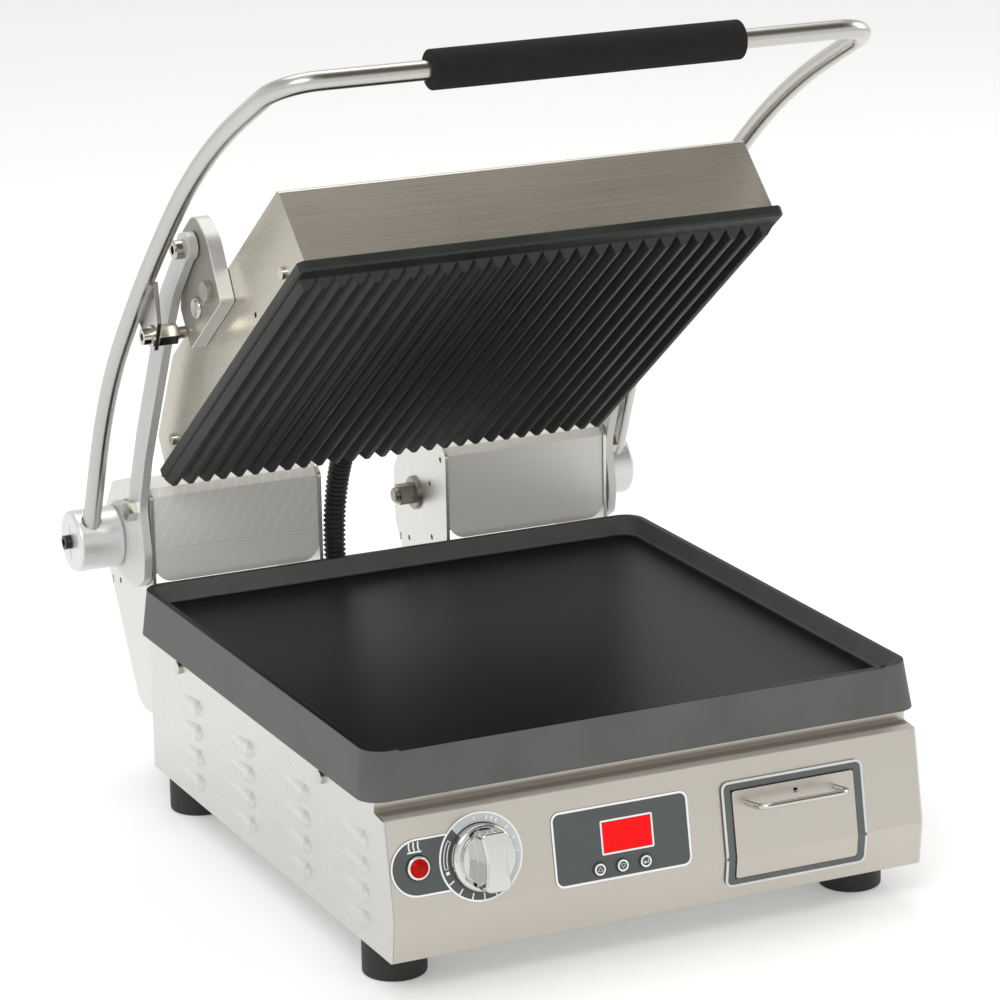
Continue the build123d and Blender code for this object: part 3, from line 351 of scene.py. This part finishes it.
DRESSED = {
    FRONT_STEEL: ["front_panel", "drawer_front"],
    SIDE_STEEL: ["left_side_panel", "right_side_panel", "rear_panel", "base_pan", "drawer_tray",
                 "drawer_rails"],
    HOUSING_STEEL: ["upper_housing"],
    COVER_STEEL: ["right_spring_cover"],
    FILMED_STEEL: ["left_spring_cover"],
    BLACK_OXIDE: ["hub_end_bolts"],
    PLATE_STEEL: ["left_outer_hinge_plate", "left_inner_hinge_plate", "right_outer_hinge_plate",
                  "right_inner_hinge_plate"],
    ALUMINIUM: ["left_arm", "right_arm"],
    HUB_ALUMINIUM: ["left_hub", "right_hub"],
    BRACKET_ALUMINIUM: ["left_platen_bracket", "right_platen_bracket"],
    HANDLE_STEEL: ["handle_tube"],
    PULL_STEEL: ["drawer_pull"],
    BRIGHT_ZINC: ["arm_bolts", "bracket_bolts", "housing_screws", "pivot_bolts", "side_screws",
                  "stop_standoffs"],
    SHAFT_STEEL: ["shaft_nuts", "left_hinge_shaft", "right_hinge_shaft"],
    CHROME: ["control_knob"],
    ELEMENT_STEEL: ["lower_heating_element", "upper_heating_element"],
    SPRING_STEEL: ["left_torsion_spring", "right_torsion_spring"],
    GRIDDLE_IRON: ["lower_griddle_plate"],
    PLATEN_IRON: ["upper_platen"],
    GRIP_FOAM: ["handle_grip"],
    FOOT_RUBBER: ["front_left_foot", "front_right_foot", "rear_left_foot", "rear_right_foot"],
    GLAND_BLACK: ["conduit_gland", "power_gland"],
    LABEL_GREY: ["dial_label", "display_label"],
    FRAME_GREY: ["drawer_frame"],
    LAMP_CHROME: ["lamp_bezel"],
    BUTTON_DARK: ["up_button", "down_button", "enter_button"],
    DISPLAY_RED: ["display_window"],
    LAMP_RED: ["lamp_lens"],
    BOARD_GREEN: ["control_board"],
    THERMOSTAT_WHITE: ["thermostat"],
    WOOL_WHITE: ["lower_insulation"],
}
for dressing, dressed_nodes in DRESSED.items():
    for dressed_node in dressed_nodes:
        node_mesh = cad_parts[dressed_node].data
        node_mesh.materials.clear()
        node_mesh.materials.append(dressing)


# ---- mesh helpers ---------------------------------------------------------------------------------------

def finish_mesh(name, bm, mat, body, smooth=False):
    """Turn a bmesh into a piece that rides on a body."""
    bmesh.ops.recalc_face_normals(bm, faces=bm.faces)
    mesh = bpy.data.meshes.new(name)
    bm.to_mesh(mesh)
    bm.free()
    mesh.materials.append(mat)
    if smooth:
        mesh.shade_smooth()
    piece = bpy.data.objects.new(name, mesh)
    bpy.context.collection.objects.link(piece)
    if body:
        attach(piece, body)
    return piece


def patch(bm, place, outline, out0, out1):
    """Thin closed prism over a simple outline of (a, b) points."""
    low = [bm.verts.new(place(a, b, out0)) for a, b in outline]
    high = [bm.verts.new(place(a, b, out1)) for a, b in outline]
    bm.faces.new(high)
    bm.faces.new(low[::-1])
    for i in range(len(outline)):
        j = (i + 1) % len(outline)
        bm.faces.new((low[i], low[j], high[j], high[i]))


def band(bm, place, path, width, out0, out1, closed=True):
    """Thin closed strip of the given width along a path of (a, b) points."""
    count = len(path)
    stations = []
    for i, (a, b) in enumerate(path):
        before = path[i - 1] if closed or i else path[i]
        after = path[(i + 1) % count] if closed or i < count - 1 else path[i]
        run = hypot(after[0] - before[0], after[1] - before[1])
        na, nb = -(after[1] - before[1]) / run, (after[0] - before[0]) / run
        left, right = (a + na * width / 2, b + nb * width / 2), (a - na * width / 2, b - nb * width / 2)
        corners = [(left, out0), (right, out0), (right, out1), (left, out1)]
        stations.append([bm.verts.new(place(*at, out)) for at, out in corners])
    links = range(count) if closed else range(count - 1)
    for i in links:
        here, there = stations[i], stations[(i + 1) % count]
        for k in range(4):
            n = (k + 1) % 4
            bm.faces.new((here[k], here[n], there[n], there[k]))
    if not closed:
        bm.faces.new(stations[0])
        bm.faces.new(stations[-1][::-1])


def arc(centre, radius, start, end, steps):
    """Points along an arc, angles in degrees counted from +a towards +b."""
    turns = [radians(start + (end - start) * i / steps) for i in range(steps + 1)]
    return [(centre[0] + radius * cos(t), centre[1] + radius * sin(t)) for t in turns]


def circle(centre, radius, steps=48):
    return arc(centre, radius, 0, 360, steps)[:-1]


def rounded_box(a0, a1, b0, b1, radius, steps=6):
    """Outline of a rectangle with round corners, counted anticlockwise."""
    corners = [((a1 - radius, b1 - radius), 0), ((a0 + radius, b1 - radius), 90),
               ((a0 + radius, b0 + radius), 180), ((a1 - radius, b0 + radius), 270)]
    points = []
    for centre, start in corners:
        points += arc(centre, radius, start, start + 90, steps)
    return points


def print_and_shadow_piece(name, mat, body, draw):
    """Thin piece of ink, also used for the painted shadow round the lamp: draw(bm) adds its strips and
    patches.
    """
    bm = bmesh.new()
    draw(bm)
    return finish_mesh(name, bm, mat, body)


LAYER_LOW, LAYER_HIGH = LABEL_MM - 0.05, LABEL_MM + 0.06


# ---- dial label: lamp pill and ring round the knob ------------------------------------------------------

PILL_HALF_MM, RING_MM = 18.6, 28.7
BORDER_MM = 1.3                               # width of the dial label's white edge
BORDER_INSET_MM = 0.7                         # from the label's edge to the middle of the white edge
SKIRT_OUT_MM = 8.0                            # face of the knob's skirt
BEZEL_OUT_MM = LABEL_MM + 2.2
DIAL = (KNOB_X_MM, DIAL_S_MM)
LAMP = (LAMP_X_MM, DIAL_S_MM)


def dial_border(bm):
    """White edge of the pill, and of the ring all the way round."""
    inset = PILL_HALF_MM - BORDER_INSET_MM
    reach = RING_MM ** 2 - inset ** 2
    meet = KNOB_X_MM - reach ** 0.5
    lamp_end = arc(LAMP, inset, 90, 270, 24)
    path = [(meet, DIAL_S_MM + inset)] + lamp_end + [(meet, DIAL_S_MM - inset)]
    band(bm, on_panel, path, BORDER_MM, LAYER_LOW, LAYER_HIGH, closed=False)
    band(bm, on_panel, circle(DIAL, RING_MM - BORDER_INSET_MM, 72), BORDER_MM, LAYER_LOW, LAYER_HIGH + 0.01)


def dial_light_arc(bm):
    """Pale sector of the ring, from the upper left over the top to the lower right."""
    band(bm, on_panel, arc(DIAL, RING_MM - 3.9, -52, 132, 54), 5.6, LAYER_LOW, LAYER_HIGH - 0.02, closed=False)


def ring_tick(bm, degrees, inner, outer, width, out1):
    """Radial dash across the ring, inner and outer counted in mm from the ring's edge."""
    turn = radians(degrees)
    reaches = (RING_MM - inner, RING_MM - outer)
    ends = [(KNOB_X_MM + r * cos(turn), DIAL_S_MM + r * sin(turn)) for r in reaches]
    band(bm, on_panel, ends, width, LAYER_LOW, out1, closed=False)


def dial_marks(bm):
    """Ticks round the dark part of the ring, and a rounded slot mark with a dot beside the lamp."""
    for degrees in (212, 232, 252, 270, 288):
        ring_tick(bm, degrees, 5.6, 1.2, 0.9, LAYER_HIGH)
    slot = arc(DIAL, RING_MM - 3.2, 148, 190, 14) + arc(DIAL, RING_MM - 5.4, 190, 148, 14)
    band(bm, on_panel, slot, 0.6, LAYER_LOW, LAYER_HIGH)
    band(bm, on_panel, arc(DIAL, RING_MM - 4.3, 194, 199, 3), 2.4, LAYER_LOW, LAYER_HIGH, closed=False)


def dial_pale_marks(bm):
    """Faint figures on the pale sector, drawn as plain dashes."""
    for degrees in (96, 76, 68, 60, 40, 20, 0):
        ring_tick(bm, degrees, 5.4, 2.6, 1.0, LAYER_HIGH + 0.01)


def knob_pointer(bm):
    """Black triangle on the knob's skirt, over the grip bar."""
    x, s = DIAL
    corners = [(x - 2.0, s + 16.8), (x + 2.2, s + 16.8), (x - 1.4, s + 19.8)]
    patch(bm, on_panel, corners, SKIRT_OUT_MM - 0.4, SKIRT_OUT_MM + 0.12)


def lamp_ring(bm):
    """Painted shadow: a dark line round the lamp's bezel."""
    band(bm, on_panel, circle(LAMP, 8.1), 0.8, LAYER_LOW, LAYER_HIGH)


def lamp_red_rim(bm):
    """Red flange of the lens, lying on the bezel."""
    band(bm, on_panel, circle(LAMP, 5.5), 1.3, BEZEL_OUT_MM - 0.2, BEZEL_OUT_MM + 0.15)


def heat_symbol(bm):
    """Three rising strokes over a line: the plate is heating."""
    x, s = LAMP_X_MM - 1.5, DIAL_S_MM
    for offset in (-3.1, 0.0, 3.1):
        path = [(x + offset, s + 10.9), (x + offset - 0.5, s + 13.6), (x + offset - 0.2, s + 16.6)]
        band(bm, on_panel, path, 1.0, LAYER_LOW, LAYER_HIGH, closed=False)
    band(bm, on_panel, [(x - 4.8, s + 10.2), (x + 4.8, s + 10.2)], 1.0, LAYER_LOW, LAYER_HIGH, closed=False)


print_and_shadow_piece("dial_border_print", WHITE_INK, "base", dial_border)
print_and_shadow_piece("dial_light_sector", GLARE_GREY, "base", dial_light_arc)
print_and_shadow_piece("dial_tick_print", WHITE_INK, "base", dial_marks)
print_and_shadow_piece("dial_figure_print", WHITE_INK, "base", dial_pale_marks)
print_and_shadow_piece("knob_pointer_print", BLACK_INK_AND_SHADOW, "knob", knob_pointer)
# painted shadow: a dark ring round the lamp's bezel, drawn like the prints
print_and_shadow_piece("lamp_bezel_painted_shadow", BLACK_INK_AND_SHADOW, "base", lamp_ring)
print_and_shadow_piece("lamp_lens_flange", LAMP_RED, "base", lamp_red_rim)
print_and_shadow_piece("heat_symbol_print", WHITE_INK, "base", heat_symbol)


# ---- display label and buttons --------------------------------------------------------------------------

DISPLAY_MM = (-42.0, -7.5, 18.5, 38.3)
DISPLAY_LABEL_MM = (-77.2, 19.8, 0.8, 49.8)
BUTTONS_MM = {"up_button": -46.3, "down_button": -30.1, "enter_button": -13.7}
BUTTON_S_MM, BUTTON_TOP_MM = 9.0, 2.1


def display_border(bm):
    """White edge round the display label."""
    x0, x1, s0, s1 = DISPLAY_LABEL_MM
    band(bm, on_panel, rounded_box(x0 + 0.8, x1 - 0.8, s0 + 0.8, s1 - 0.8, 5.2), 1.5, LAYER_LOW, LAYER_HIGH)


def window_border(bm):
    """White line round the red window."""
    x0, x1, s0, s1 = DISPLAY_MM
    band(bm, on_panel, rounded_box(x0 - 0.7, x1 + 0.7, s0 - 0.7, s1 + 0.7, 0.5, 3), 1.2, LAYER_LOW, LAYER_HIGH)


def button_print(name, x):
    """White rim and symbol on a button's cap."""
    low, high = BUTTON_TOP_MM - 0.05, BUTTON_TOP_MM + 0.05

    s = BUTTON_S_MM

    def draw(bm):
        band(bm, on_panel, circle((x, s), 3.25, 36), 1.1, low, high)
        if name == "enter_button":
            hook = [(x + 1.6, s + 1.3), (x + 1.6, s - 0.5), (x - 0.5, s - 0.5)]
            band(bm, on_panel, hook, 0.6, low, high, closed=False)
            head = [(x - 0.4, s - 1.6), (x - 0.4, s + 0.6), (x - 1.9, s - 0.5)]
            patch(bm, on_panel, head, low, high)
        else:
            up = 1 if name == "up_button" else -1
            corners = [(x - 1.6, s - 1.1 * up), (x + 1.6, s - 1.1 * up), (x, s + 1.7 * up)]
            band(bm, on_panel, corners, 0.55, low, high)

    print_and_shadow_piece(f"{name}_print", WHITE_INK, name, draw)


print_and_shadow_piece("display_border_print", WHITE_INK, "base", display_border)
print_and_shadow_piece("window_border_print", WHITE_INK, "base", window_border)
for button_name, button_x in BUTTONS_MM.items():
    button_print(button_name, button_x)


# ---- drawer frame edge ----------------------------------------------------------------------------------

EDGE_WIDTH_MM, EDGE_LOW_MM, EDGE_HIGH_MM = 1.6, 1.4, 1.9
STATION_MM = 6.0                              # longest step between stations along the edge


def drawer_border(bm):
    """Pale outer edge that follows the creased frame."""
    low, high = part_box("drawer_frame")
    x0, x1 = low.x * 1000, high.x * 1000
    z0, z1 = low.z * 1000, high.z * 1000
    outline = rounded_box(x0 + 0.5, x1 - 0.5, z0 + 0.5, z1 - 0.5, 4.5)
    dense = []
    for (a0, b0), (a1, b1) in zip(outline, outline[1:] + outline[:1]):
        steps = max(1, round(hypot(a1 - a0, b1 - b0) / STATION_MM))
        dense += [(a0 + (a1 - a0) * i / steps, b0 + (b1 - b0) * i / steps) for i in range(steps)]
    band(bm, on_front, dense, EDGE_WIDTH_MM, EDGE_LOW_MM, EDGE_HIGH_MM)


print_and_shadow_piece("drawer_border_print", EDGE_GREY, "base", drawer_border)


# ---- conduit: ribbed hose in two pieces, one across each joint ------------------------------------------

CONDUIT_X = sum(c.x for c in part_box("conduit_gland")) / 2
CASING_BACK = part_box("rear_panel")[1].y
HOSE_R, RIB_H, RIB_PITCH, SIDES_ROUND = 0.0074, 0.0009, 0.0036, 28
# control points of the hose's line: x from its exit, y from the rear panel's face and z, in mm
ROUTE_MM = [(0.0, 0.0, 88.0), (0.0, 20.0, 88.0), (0.2, 41.0, 92.0), (0.6, 49.0, 125.0), (1.2, 53.0, 165.0),
            (4.0, 52.0, 198.0), (6.4, 44.0, 224.0), (7.0, 32.5, 237.0), (7.0, 18.5, 247.6)]


def smooth_route(points):
    """Points along the NURBS curve that has the route as its control points."""
    curve = bpy.data.curves.new("conduit_route", "CURVE")
    curve.dimensions = "3D"
    spline = curve.splines.new("NURBS")
    spline.points.add(len(points) - 1)
    for point, place in zip(spline.points, points):
        point.co = (*place, 1)
    spline.order_u = 3
    spline.use_endpoint_u = True
    curve.resolution_u = 40
    holder = bpy.data.objects.new("conduit_route", curve)
    mesh = bpy.data.meshes.new_from_object(holder)
    line = [v.co.copy() for v in mesh.vertices]
    bpy.data.objects.remove(holder)
    return line


def resample(line, step):
    """Points a step apart along a line."""
    spaced, carried = [line[0]], 0.0
    for a, b in zip(line, line[1:]):
        run = (b - a).length
        while carried + run >= step:
            a = a + (b - a) * ((step - carried) / run)
            run = (b - a).length
            carried = 0.0
            spaced.append(a)
        carried += run
    return spaced


def hose(name, points, first_station):
    """Ribbed tube round a line that stays close to a plane of constant x, with closed ends."""
    bm = bmesh.new()
    rings = []
    for i, point in enumerate(points):
        ahead = points[min(i + 1, len(points) - 1)] - points[max(i - 1, 0)]
        ahead.normalize()
        up = ahead.cross(Vector((1, 0, 0))).normalized()
        side = up.cross(ahead)
        radius = HOSE_R + RIB_H * cos((first_station + i) * pi / 2)
        turns = [2 * pi * k / SIDES_ROUND for k in range(SIDES_ROUND)]
        rings.append([bm.verts.new(point + (side * cos(t) + up * sin(t)) * radius) for t in turns])
    for ring, following in zip(rings, rings[1:]):
        for k in range(SIDES_ROUND):
            n = (k + 1) % SIDES_ROUND
            bm.faces.new((ring[k], ring[n], following[n], following[k]))
    bm.faces.new(rings[0][::-1])
    bm.faces.new(rings[-1])
    return finish_mesh(name, bm, CONDUIT_BLACK, None, smooth=True)


hose_line = smooth_route([(CONDUIT_X + x / 1000, CASING_BACK + y / 1000, z / 1000) for x, y, z in ROUTE_MM])
hose_points = resample(hose_line, RIB_PITCH / 4)
JOIN_Z = AXIS_Z + 0.008                       # where the lower run hands over to the upper run
join = next(i for i, point in enumerate(hose_points) if point.z > JOIN_Z)
lower_hose = hose("conduit_lower_run", hose_points[:join + 1], 0)
upper_hose = hose("conduit_upper_run", hose_points[join:], join)
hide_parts("conduit")
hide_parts("conduit")
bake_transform(lower_hose)
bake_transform(upper_hose)


# ---- floor, light, camera -------------------------------------------------------------------------------

def plain_floor():
    """Wide sheet of pale paper, faintly self-lit so that it stays near white."""
    bm = bmesh.new()
    bmesh.ops.create_grid(bm, x_segments=1, y_segments=1, size=20)
    mesh = bpy.data.meshes.new("floor")
    bm.to_mesh(mesh)
    bm.free()
    mat = new_material("floor_paper", (0.90, 0.90, 0.895), 0.0, 0.9, specular=0.1)
    shader_of(mat).inputs["Emission Color"].default_value = (1, 1, 0.995, 1)
    shader_of(mat).inputs["Emission Strength"].default_value = 0.22
    mesh.materials.append(mat)
    floor = bpy.data.objects.new("floor", mesh)
    bpy.context.collection.objects.link(floor)


DARK_TOWARDS = (0.41, -0.51, 0.757)           # high in front, to the right
DARK_SHADE = (0.14, 0.12, 0.09)
SKY_LEVELS = [(0.0, 0.97), (0.25, 0.90), (0.55, 0.70), (0.80, 0.62), (1.0, 0.95)]


def studio_world():
    """Soft pale surroundings, a little dimmer halfway up, with one dark stretch high in front."""
    world = bpy.data.worlds.new("studio")
    bpy.context.scene.world = world
    world.use_nodes = True
    nodes, links = world.node_tree.nodes, world.node_tree.links
    place = nodes.new("ShaderNodeTexCoord")
    split = nodes.new("ShaderNodeSeparateXYZ")
    ramp = nodes.new("ShaderNodeValToRGB")
    while len(ramp.color_ramp.elements) < len(SKY_LEVELS):
        ramp.color_ramp.elements.new(0.5)
    for element, (position, level) in zip(ramp.color_ramp.elements, SKY_LEVELS):
        element.position = position
        element.color = (level, level, level * 0.99, 1)
    links.new(place.outputs["Generated"], split.inputs["Vector"])
    links.new(split.outputs["Z"], ramp.inputs["Fac"])
    towards = nodes.new("ShaderNodeVectorMath")
    towards.operation = "DOT_PRODUCT"
    towards.inputs[1].default_value = DARK_TOWARDS
    links.new(place.outputs["Generated"], towards.inputs[0])
    patch_share = nodes.new("ShaderNodeMapRange")
    patch_share.interpolation_type = "SMOOTHSTEP"
    patch_share.inputs["From Min"].default_value = 0.78
    patch_share.inputs["From Max"].default_value = 0.98
    links.new(towards.outputs["Value"], patch_share.inputs["Value"])
    shade = nodes.new("ShaderNodeMix")
    shade.data_type = "RGBA"
    shade.inputs["B"].default_value = (*DARK_SHADE, 1)
    links.new(patch_share.outputs["Result"], shade.inputs["Factor"])
    links.new(ramp.outputs["Color"], shade.inputs["A"])
    links.new(shade.outputs["Result"], nodes["Background"].inputs["Color"])
    nodes["Background"].inputs["Strength"].default_value = 1.0


def softbox(name, place, aim, size, power):
    """Rectangular area light at a place, turned towards its aim."""
    light = bpy.data.lights.new(name, "AREA")
    light.shape = "RECTANGLE"
    light.size, light.size_y = size
    light.energy = power
    lamp = bpy.data.objects.new(name, light)
    bpy.context.collection.objects.link(lamp)
    lamp.location = place
    lamp.rotation_euler = (Vector(aim) - Vector(place)).to_track_quat("-Z", "Y").to_euler()


VIEW_AZIMUTH, VIEW_ELEVATION, VIEW_ROLL = -24.96, 15.97, -1.0
LENS_MM = 149.65
EYE_X, EYE_BEFORE_CREASE, EYE_Z = -1.1386, 2.2064, 1.0135


def camera():
    """Camera at the photograph's viewing angle."""
    azimuth, elevation, roll = radians(VIEW_AZIMUTH), radians(VIEW_ELEVATION), radians(VIEW_ROLL)
    back = Vector((sin(azimuth) * cos(elevation), -cos(azimuth) * cos(elevation), sin(elevation)))
    right = (-back).cross(Vector((0, 0, 1))).normalized()
    up = right.cross(-back)
    rolled_right = right * cos(roll) + up * sin(roll)
    rolled_up = up * cos(roll) - right * sin(roll)
    data = bpy.data.cameras.new("camera")
    data.lens = LENS_MM
    data.sensor_width = 36.0
    data.clip_end = 60
    eye = bpy.data.objects.new("camera", data)
    bpy.context.collection.objects.link(eye)
    place = Matrix((rolled_right, rolled_up, back)).transposed().to_4x4()
    place.translation = Vector((EYE_X, CREASE_Y - EYE_BEFORE_CREASE, EYE_Z))
    eye.matrix_world = place
    bpy.context.scene.camera = eye


plain_floor()
studio_world()
softbox("key_light", (-1.6, -2.2, 2.6), (0, 0, 0.25), (1.8, 1.2), 38)
softbox("fill_light", (2.7, -0.1, 1.5), (0, 0, 0.3), (1.6, 1.6), 16)
softbox("top_light", (0.2, 0.9, 2.6), (0, 0, 0.2), (2.2, 1.4), 18)
camera()
bpy.context.scene.view_settings.view_transform = "Standard"
